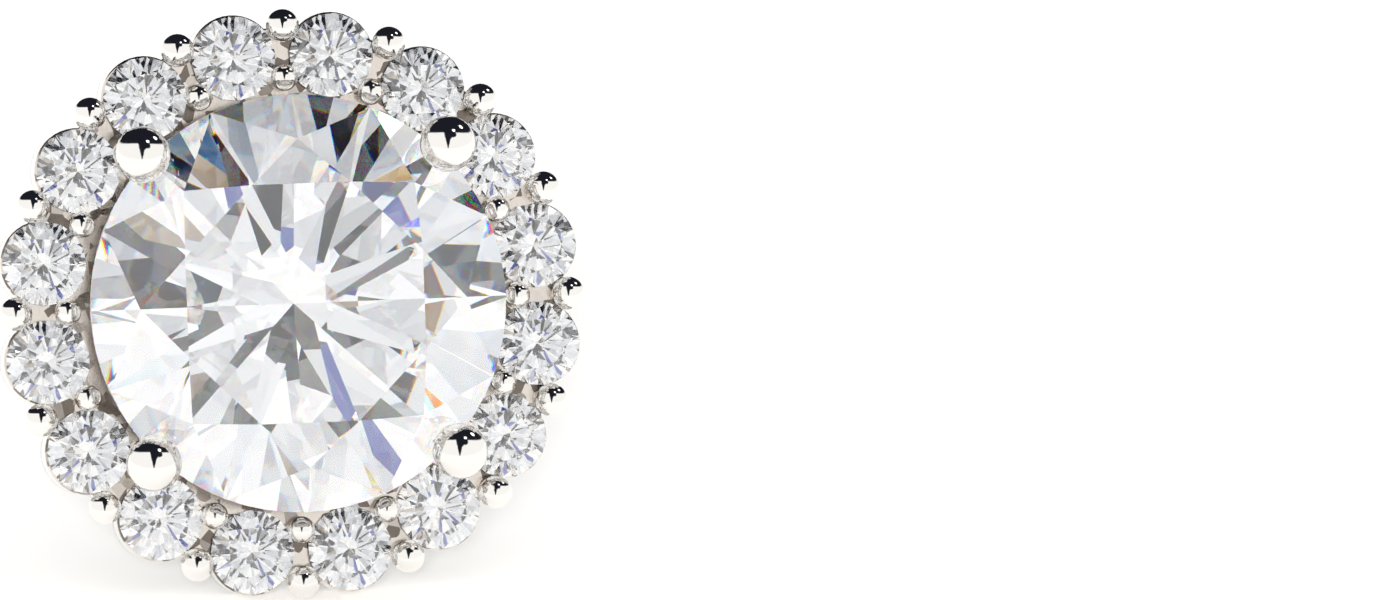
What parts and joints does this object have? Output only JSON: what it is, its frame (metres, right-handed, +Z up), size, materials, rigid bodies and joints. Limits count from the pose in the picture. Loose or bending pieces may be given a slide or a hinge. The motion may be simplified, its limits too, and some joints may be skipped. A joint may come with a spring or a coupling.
{
  "type": "halo stud earring",
  "caption": "Round halo stud earring: a large clear brilliant in prongs, a ring of small brilliants held by shared beads, a polished white metal setting and a straight ear post.",
  "frame": {"origin": "on the table top, under the middle of the box that the resting earring fills", "axes": "+Z up from the table top. The face looks towards -Y and leans back 19 degrees; the post runs back and down towards +Y. +X is to the right of someone who looks at the face."},
  "size_m": [0.0092, 0.0146, 0.0089],
  "materials": {
    "white_gold": "polished white gold, faintly warm",
    "clear_stone": "polished facets, colourless"
  },
  "bodies": {
    "root": {"setting": "white_gold", "ear_post": "white_gold", "centre_stone": "clear_stone", "halo_stone_01": "clear_stone", "halo_stone_02": "clear_stone", "halo_stone_03": "clear_stone", "halo_stone_04": "clear_stone", "halo_stone_05": "clear_stone", "halo_stone_06": "clear_stone", "halo_stone_07": "clear_stone", "halo_stone_08": "clear_stone", "halo_stone_09": "clear_stone", "halo_stone_10": "clear_stone", "halo_stone_11": "clear_stone", "halo_stone_12": "clear_stone", "halo_stone_13": "clear_stone", "halo_stone_14": "clear_stone", "halo_stone_15": "clear_stone", "halo_stone_16": "clear_stone"}
  },
  "joints": []
}
